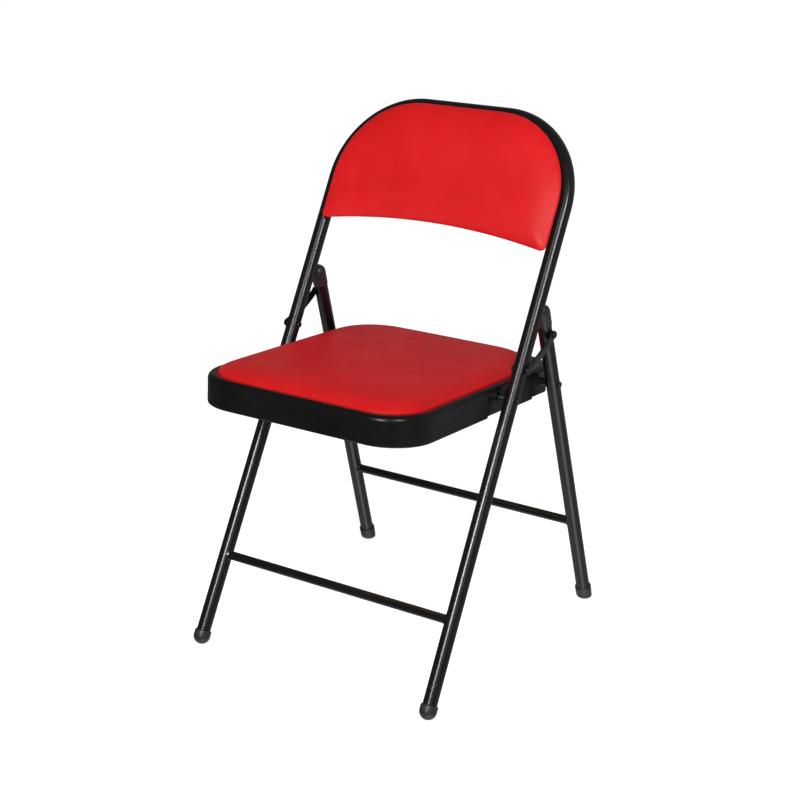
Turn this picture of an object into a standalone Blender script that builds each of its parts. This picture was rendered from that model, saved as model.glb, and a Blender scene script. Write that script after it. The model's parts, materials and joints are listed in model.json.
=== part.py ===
"""Padded folding chair, open, built as separate named pieces in metres with +Z up.

The chair faces -Y. The hoop (front legs and back arch in one tube) is the fixed frame, the
seat turns on the hoop, the rear legs turn on the seat, and two side links tie the legs to the hoop.
"""
import math

import bmesh
import bpy
from mathutils import Vector

# Whole chair: top of the arch above the floor, and width over the rear feet
CHAIR_HEIGHT = 0.8103
CHAIR_WIDTH = 0.4638

# Clearance between pieces that touch, and how far a cutter runs past what it cuts
GAP = 0.0003
CUT_PAST = 0.004

# Round tubes of the frame and its two braces
TUBE_R = 0.011
TUBE_WALL = 0.0012
BRACE_R = 0.007
BRACE_WALL = 0.0010

# Hoop, drawn in its own leaning plane: x across, s up the tube from the floor, n to the rear
LEAN = math.radians(29.35)
HOOP_FOOT_Y = -0.2368
HOOP_INSIDE = 0.0010
HOOP_SPLAY = 0.0031
HOOP_BEND_S = 0.4590
HOOP_CORNER_R = 0.1346
FRONT_BRACE_Z = 0.1287

# Rear legs: the axis runs from a floor point through the pivot at the seat
LEG_FOOT_Y = 0.2484
LEG_SPLAY = 0.0088
LEG_PIVOT_Y = 0.1275
LEG_PIVOT_Z = 0.4102
REAR_BRACE_Z = 0.1524

# Caps on the legs' upper ends, which come to rest against the hoop
TOP_CAP_WALL = 0.0007
TOP_CAP_SKIRT = 0.0225
TOP_CAP_REST = 0.0005

# Rubber foot caps: wall beside the tube, height above the floor, floor under the tube, rounded edge; the
# front legs lean more and stand on round ends, of which the floor takes a little off
FOOT_WALL = 0.0023
FOOT_FRONT_H = 0.0200
FOOT_FRONT_FLAT = 0.0012
FOOT_REAR_H = 0.0240
FOOT_FLOOR = 0.0105
FOOT_EDGE = 0.0013
FOOT_TAPER = 0.0010
FOOT_TAPER_H = 0.0070

# Pivots on the hoop by s, and the link's far end by its distance from the leg's upper end
SEAT_PIVOT_S = 0.4842
LINK_PIVOT_S = 0.5315
LINK_END_DROP = 0.0378
PIN_R = 0.0036
HEAD_LIP = 0.0020
TAIL_LIP = 0.0014
HEAD_H = 0.0026
HEAD_EDGE = 0.0007
BUSH_WALL = 0.0022
FLANGE_LIP = 0.0024

# Side links: flat bars outside the tubes
LINK_T = 0.0026
LINK_HALF = 0.0066
LINK_SAG = 0.0030
LINK_EDGE = 0.0005
LINK_CLEAR = 0.0008

# Seat, drawn in its own plane: x across, f to the rear of the seat pivot, w up from the lower edge
PIVOT_SLOPE = math.radians(1.11)
PIVOT_W = 0.0247
SEAT_SIDE_CLEAR = 0.0058
SEAT_FRONT_REACH = 0.2612
SEAT_REAR_REACH = 0.0570
SEAT_R_FRONT = 0.070
SEAT_R_REAR = 0.060

# Seat rim: a bent strip with a lower flange, pressed pivot flats, a rolled top and an inward lip
RIM_T = 0.0013
RIM_BEND = 0.0030
RIM_FLANGE = 0.0110
RIM_ROLL = 0.0080
RIM_LIP = 0.0020
RIM_LIP_DROP = 0.0002
RECESS_DEPTH = 0.0050
RECESS_BLEND = 0.0061
RECESS_EDGE = 0.0060
RECESS_AHEAD = 0.0390
RECESS_BEHIND = 0.0260
LEG_RECESS_AHEAD = 0.0320

# Seat board, its tabs and the screws of both boards
BOARD_T = 0.0075
BOARD_CLEAR = 0.0010
TAB_T = 0.0020
TAB_LENGTH = 0.0230
TAB_REACH = 0.0260
TAB_DROP = 0.0188
TAB_SCREW_IN = 0.0164
SCREW_R = 0.0021
SCREW_CLEAR = 0.0004
SCREW_HEAD_R = 0.0042
SCREW_HEAD_H = 0.0022
SCREW_SKIN = 0.0010

# Seat cushion: a flange under the lip, then a rounded side, squarer for a higher power, and a crown
SEAT_PAD_FLANGE = 0.0043
SEAT_PAD_TUCK = 0.0034
SEAT_PAD_CLEAR = 0.0020
SEAT_PAD_UNDER = 0.0005
SEAT_PAD_SIDE = 0.0038
SEAT_PAD_ROLL = 0.0300
SEAT_PAD_RISE = 0.0116
SEAT_PAD_CROWN = 0.0042
SEAT_PAD_POWER = 1.35
SEAT_PAD_R_FRONT = 0.066
SEAT_PAD_R_REAR = 0.087

# Back rest: outline inside the hoop's centre line, lower edge arched upwards
BACK_SIDE_IN = 0.0046
BACK_CORNER_IN = 0.0025
BACK_TOP_IN = 0.0008
BACK_HEIGHT = 0.1905
BACK_ARCH = 0.0172
BACK_LOW_R = 0.0090
BACK_BOARD_T = 0.0050
BACK_TAB_T = 0.0024
BACK_TAB_W = 0.0240
BACK_TAB_REACH = 0.0330
BACK_TAB_RISE = 0.0255
BACK_SCREW_IN = 0.0245

# Back cushion: its cover wraps round the board's edge, then a rounded side and a crown
BACK_PAD_WRAP = 0.0065
BACK_PAD_SET = 0.0004
BACK_PAD_SIDE = 0.0028
BACK_PAD_EDGE = 0.0030
BACK_PAD_ROLL = 0.0340
BACK_PAD_RISE = 0.0110
BACK_PAD_CROWN = 0.0022
BACK_PAD_POWER = 1.60

# Inner rings that carry a pad's crown
CROWN_RINGS = (0.55, 0.28)

# Sides of round pieces and steps of round corners
TUBE_SIDES = 24
BRACE_SIDES = 20
PIN_SIDES = 16
SCREW_SIDES = 12
CORNER_STEPS = 13

for old in list(bpy.data.objects):
    bpy.data.objects.remove(old, do_unlink=True)

LEAN_S = math.sin(LEAN)
LEAN_C = math.cos(LEAN)
SIDES = ((-1, "left"), (1, "right"))

# The tubes' places across the chair, from its width, and the arch's top, from its height
LEG_FOOT_X = CHAIR_WIDTH / 2 - TUBE_R - FOOT_WALL
LEG_PIVOT_X = LEG_FOOT_X - LEG_SPLAY
HOOP_X = LEG_PIVOT_X - HOOP_INSIDE
HOOP_FOOT_X = HOOP_X + HOOP_SPLAY
HOOP_TOP_S = (CHAIR_HEIGHT - TUBE_R) / LEAN_C


def hoop_point(x, s, n=0.0):
    """A point given in the hoop's leaning plane."""
    return Vector((x, HOOP_FOOT_Y + s * LEAN_S + n * LEAN_C, s * LEAN_C - n * LEAN_S))


def hoop_x(s):
    """Half spacing of the hoop's two legs at s."""
    k = min(s / HOOP_BEND_S, 1.0)
    return HOOP_FOOT_X + (HOOP_X - HOOP_FOOT_X) * k


def leg_point(side, z):
    """A point on a rear leg's axis at height z."""
    k = z / LEG_PIVOT_Z
    x = LEG_FOOT_X + (LEG_PIVOT_X - LEG_FOOT_X) * k
    y = LEG_FOOT_Y + (LEG_PIVOT_Y - LEG_FOOT_Y) * k
    return Vector((side * x, y, z))


def leg_direction(side):
    """Up along a rear leg."""
    return (leg_point(side, LEG_PIVOT_Z) - leg_point(side, 0.0)).normalized()


# Rear legs are as long as it takes for their upper caps to rest against the hoop
cap_r = TUBE_R + GAP + TOP_CAP_WALL
leg_up = leg_direction(1)
hoop_normal = hoop_point(0, 0, 1) - hoop_point(0, 0, 0)
from_hoop = (leg_point(1, 0.0) - hoop_point(0, 0)).dot(hoop_normal)
cap_at = (from_hoop - TUBE_R - cap_r - TOP_CAP_REST) / -leg_up.dot(hoop_normal)

# The four pivot axes, all along X
link_end_z = (cap_at - LINK_END_DROP) * leg_up.z
P_SEAT = hoop_point(0.0, SEAT_PIVOT_S)
P_LINK = hoop_point(0.0, LINK_PIVOT_S)
P_LEG = leg_point(0, LEG_PIVOT_Z)
P_END = leg_point(0, link_end_z)

# The seat hangs on its two pivots, which set its tilt
seat_span = P_LEG - P_SEAT
seat_tilt = math.atan2(-seat_span.z, seat_span.y) - PIVOT_SLOPE
TILT_S = math.sin(seat_tilt)
TILT_C = math.cos(seat_tilt)
leg_pivot_f = seat_span.length * math.cos(PIVOT_SLOPE)


def seat_point(x, f, w):
    """A point given in the seat's tilted plane."""
    up = w - PIVOT_W
    return Vector((x, P_SEAT.y + f * TILT_C + up * TILT_S, P_SEAT.z - f * TILT_S + up * TILT_C))


FINISH = {
    "black_paint": ((0.012, 0.012, 0.013), 0.0, 0.22),
    "black_rubber": ((0.045, 0.045, 0.048), 0.0, 0.65),
    "red_vinyl": ((0.62, 0.020, 0.022), 0.0, 0.45),
    "rivet_steel": ((0.040, 0.040, 0.042), 1.0, 0.35),
    "plywood": ((0.36, 0.23, 0.12), 0.0, 0.70),
    "zinc_steel": ((0.55, 0.55, 0.57), 1.0, 0.35),
    "back_cover": ((0.020, 0.020, 0.022), 0.0, 0.60),
}


def material(name, finish):
    """A material of its own for one piece."""
    color, metallic, roughness = FINISH[finish]
    mat = bpy.data.materials.new(name + "_" + finish)
    mat.use_nodes = True
    shader = mat.node_tree.nodes["Principled BSDF"]
    shader.inputs["Base Color"].default_value = (*color, 1.0)
    shader.inputs["Metallic"].default_value = metallic
    shader.inputs["Roughness"].default_value = roughness
    return mat


class Group:
    """Pieces that move together, with the marker on their joint axis."""

    def __init__(self, name, place, parent=None):
        self.place = place
        obj = bpy.data.objects.new(name, None)
        bpy.context.scene.collection.objects.link(obj)
        obj.empty_display_size = 0.03
        obj.location = place
        if parent:
            obj.parent = parent.marker
            obj.location = place - parent.place
        self.marker = obj


FRAME = Group("front_frame_axis", Vector((0, 0, 0)))
SEAT = Group("seat_pivot_axis", P_SEAT, FRAME)
LEGS = Group("rear_leg_pivot_axis", P_LEG, SEAT)
LINKS = Group("link_pivot_axis", P_LINK, FRAME)


def closed_mesh(name, verts, faces):
    """A mesh from points and faces, with the faces pointing out."""
    mesh = bpy.data.meshes.new(name)
    mesh.from_pydata([tuple(v) for v in verts], [], faces)
    build = bmesh.new()
    build.from_mesh(mesh)
    bmesh.ops.recalc_face_normals(build, faces=build.faces)
    build.to_mesh(mesh)
    build.free()
    return mesh


def piece(name, group, finish, solid, smooth=True):
    """One named object from world points, its origin on the group's joint axis."""
    verts, faces = solid
    mesh = closed_mesh(name, [Vector(v) - group.place for v in verts], faces)
    for poly in mesh.polygons:
        poly.use_smooth = smooth
    obj = bpy.data.objects.new(name, mesh)
    bpy.context.scene.collection.objects.link(obj)
    obj.parent = group.marker
    mesh.materials.append(material(name, finish))
    return obj


def cut(obj, solids):
    """Take solids out of a piece with one cutter."""
    verts = []
    faces = []
    for v, f in solids:
        base = len(verts)
        verts += v
        faces += [tuple(i + base for i in face) for face in f]
    name = obj.name + "_cutter"
    cutter = bpy.data.objects.new(name, closed_mesh(name, verts, faces))
    bpy.context.scene.collection.objects.link(cutter)
    cutter.hide_render = True
    cutter.display_type = "WIRE"
    mod = obj.modifiers.new("holes", "BOOLEAN")
    mod.operation = "DIFFERENCE"
    mod.solver = "EXACT"
    mod.object = cutter


def frame_about(axis):
    """Two directions square to an axis."""
    helper = Vector((1, 0, 0)) if abs(axis.x) < 0.9 else Vector((0, 1, 0))
    a = axis.cross(helper).normalized()
    return a, axis.cross(a).normalized()


def lathe(profile, origin, axis, sides, ring=False):
    """Turn a profile of (radius, height) about an axis; ring profiles close on themselves."""
    axis = Vector(axis).normalized()
    a, b = frame_about(axis)
    verts = []
    rows = []
    for r, h in profile:
        center = Vector(origin) + axis * h
        count = 1 if r < 1e-7 else sides
        rows.append([len(verts) + i for i in range(count)])
        for i in range(count):
            t = 2 * math.pi * i / sides
            verts.append(center + (a * math.cos(t) + b * math.sin(t)) * r)
    pairs = list(zip(rows[:-1], rows[1:]))
    if ring:
        pairs.append((rows[-1], rows[0]))
    faces = []
    for low, high in pairs:
        on_axis = len(low) == 1 and len(high) == 1
        for i in range(0 if on_axis else sides):
            j = (i + 1) % sides
            if len(low) == 1:
                faces.append((low[0], high[j], high[i]))
            elif len(high) == 1:
                faces.append((low[i], low[j], high[0]))
            else:
                faces.append((low[i], low[j], high[j], high[i]))
    return verts, faces


def rod(start, end, radius, sides):
    """A solid round bar between two points."""
    axis = Vector(end) - Vector(start)
    return lathe([(0, 0), (radius, 0), (radius, axis.length), (0, axis.length)], start, axis, sides)


def sweep(path, r_out, r_in, sides, trim=None):
    """A hollow round tube along a path; trim moves the end rings to fit what they meet."""
    last = len(path) - 1
    verts = []
    a = None
    for i, center in enumerate(path):
        ahead = (path[min(i + 1, last)] - path[max(i - 1, 0)]).normalized()
        if a is None:
            a = frame_about(ahead)[0]
        a = (a - ahead * a.dot(ahead)).normalized()
        b = ahead.cross(a)
        for radius in (r_out, r_in):
            for k in range(sides):
                t = 2 * math.pi * k / sides
                p = center + (a * math.cos(t) + b * math.sin(t)) * radius
                if trim and i in (0, last):
                    p = trim(p, i == 0)
                verts.append(p)
    faces = []
    step = 2 * sides
    for k in range(sides):
        m = (k + 1) % sides
        for i in range(last):
            o = i * step
            p = o + step
            faces.append((o + k, o + m, p + m, p + k))
            faces.append((o + sides + m, o + sides + k, p + sides + k, p + sides + m))
        for o in (0, last * step):
            faces.append((o + k, o + sides + k, o + sides + m, o + m))
    return verts, faces


def loft(rings, close=False):
    """Skin a stack of rings with equal point counts, with flat ends or closed on itself."""
    count = len(rings[0])
    verts = [p for ring in rings for p in ring]
    last = len(rings) - 1
    pairs = [(i, i + 1) for i in range(last)]
    if close:
        pairs.append((last, 0))
    faces = []
    for i, j in pairs:
        for k in range(count):
            m = (k + 1) % count
            faces.append((i * count + k, i * count + m, j * count + m, j * count + k))
    if not close:
        faces.append(tuple(range(count)))
        faces.append(tuple(last * count + k for k in range(count)))
    return verts, faces


def pad(rings, middle):
    """Skin a cushion's rings and bring its face to a middle point."""
    verts, faces = loft(rings)
    faces.pop()
    count = len(rings[0])
    base = len(verts) - count
    faces += [(base + k, base + (k + 1) % count, len(verts)) for k in range(count)]
    return verts + [middle], faces


def arc(center, radius, start, stop, steps):
    """Points of a plane arc, angles in degrees."""
    out = []
    for i in range(steps + 1):
        t = math.radians(start + (stop - start) * i / steps)
        out.append((center[0] + radius * math.cos(t), center[1] + radius * math.sin(t)))
    return out


def pad_side(roll, rise, power, steps=5):
    """A pad's rounded side: distances in from the edge with heights above it."""
    out = []
    for i in range(steps + 1):
        inset = roll * (i / steps) ** 2.5
        out.append((inset, rise * (1 - (1 - inset / roll) ** power) ** (1 / power)))
    return out


def along_x(side, start, stop, pivot, radius):
    """A round cutter along a pivot axis between two distances from the middle."""
    ends = [Vector((side * x, pivot.y, pivot.z)) for x in (start, stop)]
    return rod(ends[0], ends[1], radius, PIN_SIDES)


def hoop_direction(side):
    """Up along the hoop's lower leg."""
    foot = hoop_point(side * HOOP_FOOT_X, 0.0)
    return (hoop_point(side * HOOP_X, HOOP_BEND_S) - foot).normalized()


def tube_start(foot, axis):
    """Where a tube ends inside its foot cap."""
    return foot + axis * (FOOT_FLOOR / axis.z + GAP)


# Sizes that follow from the pivots: where the tubes, the rail and the links lie across the chair
hole_r = PIN_R + GAP
bush_r = hole_r + BUSH_WALL
seat_tube_x = hoop_x(SEAT_PIVOT_S)
link_tube_x = hoop_x(LINK_PIVOT_S)
leg_end_x = leg_point(1, link_end_z).x
seat_half = min(seat_tube_x, LEG_PIVOT_X) - TUBE_R - SEAT_SIDE_CLEAR
rail_x = seat_half - RECESS_DEPTH
link_in = max(link_tube_x, leg_end_x) + TUBE_R + LINK_CLEAR
link_out = link_in + LINK_T

# Hoop: one tube from the left foot over the arch to the right foot, drilled for the pivots
corner = (HOOP_X - HOOP_CORNER_R, HOOP_TOP_S - HOOP_CORNER_R)
right_half = [tube_start(hoop_point(HOOP_FOOT_X, 0.0), hoop_direction(1))]
right_half.append(hoop_point(HOOP_X, HOOP_BEND_S))
right_half += [hoop_point(x, s) for x, s in arc(corner, HOOP_CORNER_R, 0, 90, CORNER_STEPS)]
left_half = [Vector((-p.x, p.y, p.z)) for p in right_half]
hoop = piece("hoop_tube", FRAME, "black_paint",
             sweep(left_half + right_half[::-1], TUBE_R, TUBE_R - TUBE_WALL, TUBE_SIDES))
holes = []
for side, _ in SIDES:
    for x, pivot in ((link_tube_x, P_LINK), (seat_tube_x, P_SEAT)):
        reach = TUBE_R + CUT_PAST
        holes.append(along_x(side, x - reach, x + reach, pivot, hole_r))
cut(hoop, holes)


def brace(name, group, middle, half, across):
    """A thin tube between two legs, its ends shaped to their round sides."""
    def trim(p, first):
        d = (p - middle).dot(across)
        x = half - math.sqrt((TUBE_R + GAP) ** 2 - d * d)
        return Vector((-x if first else x, p.y, p.z))

    ends = [middle + Vector((-half, 0, 0)), middle + Vector((half, 0, 0))]
    piece(name, group, "black_paint",
          sweep(ends, BRACE_R, BRACE_R - BRACE_WALL, BRACE_SIDES, trim))


brace_s = FRONT_BRACE_Z / LEAN_C
brace("front_brace", FRAME, hoop_point(0.0, brace_s), hoop_x(brace_s), Vector((0, LEAN_C, -LEAN_S)))
leg_across = Vector((0, leg_up.z, -leg_up.y)).normalized()
brace("rear_brace", LEGS, leg_point(0, REAR_BRACE_Z), leg_point(1, REAR_BRACE_Z).x, leg_across)

# Rear legs with their upper caps
for side, word in SIDES:
    axis = leg_direction(side)
    foot = leg_point(side, 0.0)
    top = foot + axis * (cap_at - GAP)
    leg = piece("rear_leg_" + word, LEGS, "black_paint",
                sweep([tube_start(foot, axis), top], TUBE_R, TUBE_R - TUBE_WALL, TUBE_SIDES))
    reach = TUBE_R + CUT_PAST
    cut(leg, [along_x(side, LEG_PIVOT_X - reach, LEG_PIVOT_X + reach, P_LEG, hole_r)])
    bore = TUBE_R + GAP
    profile = [(bore, -TOP_CAP_SKIRT), (cap_r, -TOP_CAP_SKIRT)]
    profile += arc((0, GAP), cap_r, 0, 90, 6)[:-1]
    profile += [(0, GAP + cap_r), (0, GAP), (bore, GAP)]
    piece("leg_top_cap_" + word, LEGS, "black_rubber", lathe(profile, top, axis, BRACE_SIDES, True))


def foot_cap(name, group, foot, axis, height, end):
    """A rubber cap on a tube's end, from the profile of its lower end, cut level with the floor."""
    bore = TUBE_R + GAP
    floor = FOOT_FLOOR / axis.z
    top = height / axis.z
    profile = end + arc((foot_r - FOOT_EDGE, top - FOOT_EDGE), FOOT_EDGE, 0, 90, 2)
    profile += [(bore, top), (bore, floor), (0, floor)]
    obj = piece(name, group, "black_rubber", lathe(profile, foot, axis, TUBE_SIDES))
    build = bmesh.new()
    build.from_mesh(obj.data)
    geom = build.verts[:] + build.edges[:] + build.faces[:]
    level = Vector((0, 0, -group.place.z))
    bmesh.ops.bisect_plane(build, geom=geom, plane_co=level, plane_no=(0, 0, -1), clear_outer=True)
    bmesh.ops.contextual_create(build, geom=[e for e in build.edges if e.is_boundary])
    bmesh.ops.recalc_face_normals(build, faces=build.faces)
    build.to_mesh(obj.data)
    build.free()


foot_r = TUBE_R + FOOT_WALL
straight_end = [(0, -foot_r), (foot_r - FOOT_TAPER, -foot_r), (foot_r, FOOT_TAPER_H)]
for side, word in SIDES:
    axis = hoop_direction(side)
    round_end = arc((0, (foot_r - FOOT_FRONT_FLAT) / axis.z), foot_r, -90, 0, 5)
    foot = hoop_point(side * HOOP_FOOT_X, 0.0)
    foot_cap("foot_cap_front_" + word, FRAME, foot, axis, FOOT_FRONT_H, round_end)
    foot = leg_point(side, 0.0)
    foot_cap("foot_cap_rear_" + word, LEGS, foot, leg_direction(side), FOOT_REAR_H, straight_end)


def head(base, outward, radius, height):
    """Profile of a low domed head on a pin, from its edge to its middle."""
    points = [(radius, base)]
    for i in range(4):
        t = math.radians(30 * i)
        rise = HEAD_EDGE + (height - HEAD_EDGE) * math.sin(t)
        points.append((radius * math.cos(t), base + outward * rise))
    return points


def rivet(start, stop):
    """A pin with a domed head at its outer end and a smaller one at its inner end."""
    tail = head(start, -1, PIN_R + TAIL_LIP, HEAD_H)[::-1]
    return tail + [(PIN_R, start), (PIN_R, stop)] + head(stop, 1, PIN_R + HEAD_LIP, HEAD_H)


def bush(stop):
    """A spacer between the seat's rail and a tube."""
    start = rail_x + GAP
    return [(hole_r, start), (bush_r, start), (bush_r, stop), (hole_r, stop)]


# Pivot pins and bushes on both sides
rail_in = rail_x - RIM_T - GAP
flange_r = PIN_R + FLANGE_LIP
end_start = leg_end_x + TUBE_R + GAP
end_pin = [(0, end_start), (flange_r, end_start), (flange_r, link_in - GAP), (PIN_R, link_in - GAP)]
end_pin += [(PIN_R, link_out + GAP)] + head(link_out + GAP, 1, PIN_R + HEAD_LIP, HEAD_H)
PINS = (
    ("link_rivet_", FRAME, P_LINK, rivet(link_tube_x - TUBE_R - GAP, link_out + GAP)),
    ("seat_rivet_", FRAME, P_SEAT, rivet(rail_in, seat_tube_x + TUBE_R + GAP)),
    ("leg_rivet_", SEAT, P_LEG, rivet(rail_in, LEG_PIVOT_X + TUBE_R + GAP)),
    ("link_end_rivet_", LINKS, P_END, end_pin),
)
BUSHES = (
    ("seat_bush_", FRAME, P_SEAT, bush(seat_tube_x - TUBE_R - GAP)),
    ("leg_bush_", SEAT, P_LEG, bush(LEG_PIVOT_X - TUBE_R - GAP)),
)
for side, word in SIDES:
    out = Vector((side, 0, 0))
    for name, group, pivot, profile in PINS:
        piece(name + word, group, "rivet_steel", lathe(profile, pivot, out, PIN_SIDES))
    for name, group, pivot, profile in BUSHES:
        piece(name + word, group, "zinc_steel", lathe(profile, pivot, out, BRACE_SIDES, True))

# Links: flat bars with round ends and a slight sag
along = P_END - P_LINK
link_len = along.length
along.normalize()
below = Vector((0, along.z, -along.y))


def link_outline(half):
    """The link's outline: round ends about its two pivots, joined by sagging edges."""
    points = arc((link_len, 0), half, -90, 90, 10)
    edge = [(link_len * i / 10, 4 * LINK_SAG * i / 10 * (1 - i / 10)) for i in range(9, 0, -1)]
    points += [(u, sag + half) for u, sag in edge]
    points += arc((0, 0), half, 90, 270, 10)
    return points + [(u, sag - half) for u, sag in edge[::-1]]


for side, word in SIDES:
    rings = []
    for x, half in ((link_in, LINK_HALF), (link_out - LINK_EDGE, LINK_HALF),
                    (link_out, LINK_HALF - LINK_EDGE)):
        flat = [P_LINK + along * u + below * v for u, v in link_outline(half)]
        rings.append([Vector((side * x, p.y, p.z)) for p in flat])
    link = piece("fold_link_" + word, LINKS, "black_paint", loft(rings), smooth=False)
    cut(link, [along_x(side, link_in - CUT_PAST, link_out + CUT_PAST, p, hole_r)
               for p in (P_LINK, P_END)])

# Seat outline: front and rear edges and the pressed stretches of the side rails
seat_front = -SEAT_FRONT_REACH
seat_rear = leg_pivot_f + SEAT_REAR_REACH
recess_start = -RECESS_AHEAD
recess_stop = RECESS_BEHIND
leg_recess_start = leg_pivot_f - LEG_RECESS_AHEAD


def seat_outline(front_r, rear_r, marks=()):
    """Stations round the seat: x, f and the outward normal, with extra ones along the rails.

    The marks are spread to the rear corner's start, so that outlines with other corners pair up.
    """
    rear_center = seat_rear - rear_r
    spread = rear_center / (seat_rear - SEAT_R_REAR)
    half_loop = [(0.0, seat_front, 0.0, -1.0)]
    for radius, center, start in ((front_r, seat_front + front_r, -90), (rear_r, rear_center, 0)):
        for c, s in arc((0, 0), 1.0, start, start + 90, CORNER_STEPS):
            half_loop.append((seat_half - radius + radius * c, center + radius * s, c, s))
        if start < 0:
            half_loop += [(seat_half, f * spread, 1.0, 0.0) for f in marks]
    half_loop.append((0.0, seat_rear, 0.0, 1.0))
    mirrored = [(-x, f, -nx, nf) for x, f, nx, nf in half_loop[1:-1]]
    return half_loop + mirrored[::-1]


def ease(k):
    """A smooth step from 0 to 1."""
    k = min(max(k, 0.0), 1.0)
    return k * k * (3 - 2 * k)


def recess(x, f):
    """How far the rim's wall is pressed inwards at a station of the side rails."""
    seat_flat = ease((f - recess_start) / RECESS_EDGE) * ease((recess_stop - f) / RECESS_EDGE)
    leg_flat = ease((f - leg_recess_start) / RECESS_EDGE)
    return max(0.0, abs(x) - rail_x) * max(seat_flat, leg_flat)


def seat_ring(stations, inset, w):
    """The seat's outline drawn in by an amount at one height."""
    return [seat_point(x - nx * inset, f - nf * inset, w) for x, f, nx, nf in stations]


# Section of the rim: the pressed flats reach above the bushes, then the roll and its lip, which runs in
# to the cushion and so is wider at the corners
recess_top = PIVOT_W + bush_r + GAP
wall_top = recess_top + RECESS_BLEND
lip_in = RIM_ROLL + RIM_LIP
pad_in = lip_in + SEAT_PAD_CLEAR
lip_w = wall_top + RIM_ROLL - RIM_LIP_DROP
heel = (-RIM_BEND, RIM_BEND)
roll = (-RIM_ROLL, wall_top)
section = [(-RIM_FLANGE, 0.0)] + arc(heel, RIM_BEND, 270, 360, 2)
section += [(0.0, recess_top), (0.0, recess_top + RECESS_BLEND / 2)]
section += arc(roll, RIM_ROLL, 0, 90, 4)
section += [(-lip_in, lip_w), (-lip_in, lip_w - RIM_T)]
section += arc(roll, RIM_ROLL - RIM_T, 90, 0, 4)
section += [(-RIM_T, recess_top + RECESS_BLEND / 2), (-RIM_T, recess_top)]
section += arc(heel, RIM_BEND - RIM_T, 360, 270, 2) + [(-RIM_FLANGE, RIM_T)]
press_steps = [RECESS_EDGE * k for k in (0.0, 0.3, 0.7, 1.0)]
marks = [recess_start + d for d in press_steps]
marks += [recess_stop - d for d in press_steps[::-1]]
marks += [leg_recess_start + d for d in press_steps]
rim_line = seat_outline(SEAT_R_FRONT, SEAT_R_REAR, marks)
pad_corners = (SEAT_PAD_R_FRONT + pad_in, SEAT_PAD_R_REAR + pad_in)
rings = []
for (x, f, nx, nf), (lip_x, lip_f, _, _) in zip(rim_line, seat_outline(*pad_corners, marks)):
    press = math.copysign(recess(x, f), x)
    ring = []
    for u, w in section:
        if w > wall_top and u == -lip_in:
            ring.append(seat_point(lip_x + nx * u, lip_f + nf * u, w))
            continue
        share = 1.0 - ease((w - recess_top) / RECESS_BLEND)
        ring.append(seat_point(x + nx * u - press * share, f + nf * u, w))
    rings.append(ring)
rim = piece("seat_rim", SEAT, "black_paint", loft(rings, close=True))
cut(rim, [along_x(side, rail_in - CUT_PAST, rail_x + CUT_PAST, p, hole_r)
          for side, _ in SIDES for p in (P_SEAT, P_LEG)])


def screw(name, group, base, direction, start, bite):
    """A round headed screw along a direction, its head's seat at one height and its tip at another."""
    profile = head(start, -1, SCREW_HEAD_R, SCREW_HEAD_H)[::-1]
    profile += [(SCREW_R, start), (SCREW_R, bite - SCREW_R / 3), (0, bite)]
    piece(name, group, "zinc_steel", lathe(profile, base, direction, SCREW_SIDES))


def drill(base, direction, start, stop):
    """A screw's clearance hole between two heights."""
    return rod(base + direction * start, base + direction * stop, SCREW_R + SCREW_CLEAR, SCREW_SIDES)


# Seat board on four welded tabs, held by screws from below
pad_base = lip_w - RIM_T - SEAT_PAD_UNDER - SEAT_PAD_FLANGE
board_top = pad_base - GAP
board_low = board_top - BOARD_T
board_in = RECESS_DEPTH + RIM_T + BOARD_CLEAR
plain = seat_outline(SEAT_R_FRONT, SEAT_R_REAR)
board = piece("seat_board", SEAT, "plywood",
              loft([seat_ring(plain, board_in, board_low), seat_ring(plain, board_in, board_top)]),
              smooth=False)
seat_up = seat_point(0, 0, 1) - seat_point(0, 0, 0)
wall_in = seat_half - RIM_T - GAP
tab_top = board_low - GAP
tab_low = tab_top - TAB_T
tab_end = wall_in - TAB_REACH
tab_shape = [(wall_in, tab_top - TAB_DROP), (wall_in, tab_top), (tab_end, tab_top), (tab_end, tab_low)]
tab_shape += [(wall_in - TAB_T, tab_low), (wall_in - TAB_T, tab_top - TAB_DROP)]
TAB_PLACES = (
    ((seat_front + SEAT_R_FRONT + recess_start) / 2, "front"),
    ((recess_stop + leg_recess_start) / 2, "rear"),
)
board_holes = []
for side, word in SIDES:
    for f, place in TAB_PLACES:
        rings = [[seat_point(side * x, f + d, w) for x, w in tab_shape]
                 for d in (-TAB_LENGTH / 2, TAB_LENGTH / 2)]
        name = place + "_" + word
        tab = piece("seat_tab_" + name, SEAT, "black_paint", loft(rings), smooth=False)
        base = seat_point(side * (wall_in - TAB_SCREW_IN), f, 0.0)
        cut(tab, [drill(base, seat_up, tab_low - CUT_PAST, tab_top + CUT_PAST)])
        bite = board_top - SCREW_SKIN
        board_holes.append(drill(base, seat_up, board_low - CUT_PAST, bite + GAP))
        screw("seat_screw_" + name, SEAT, base, seat_up, tab_low - GAP, bite)
cut(board, board_holes)

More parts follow.
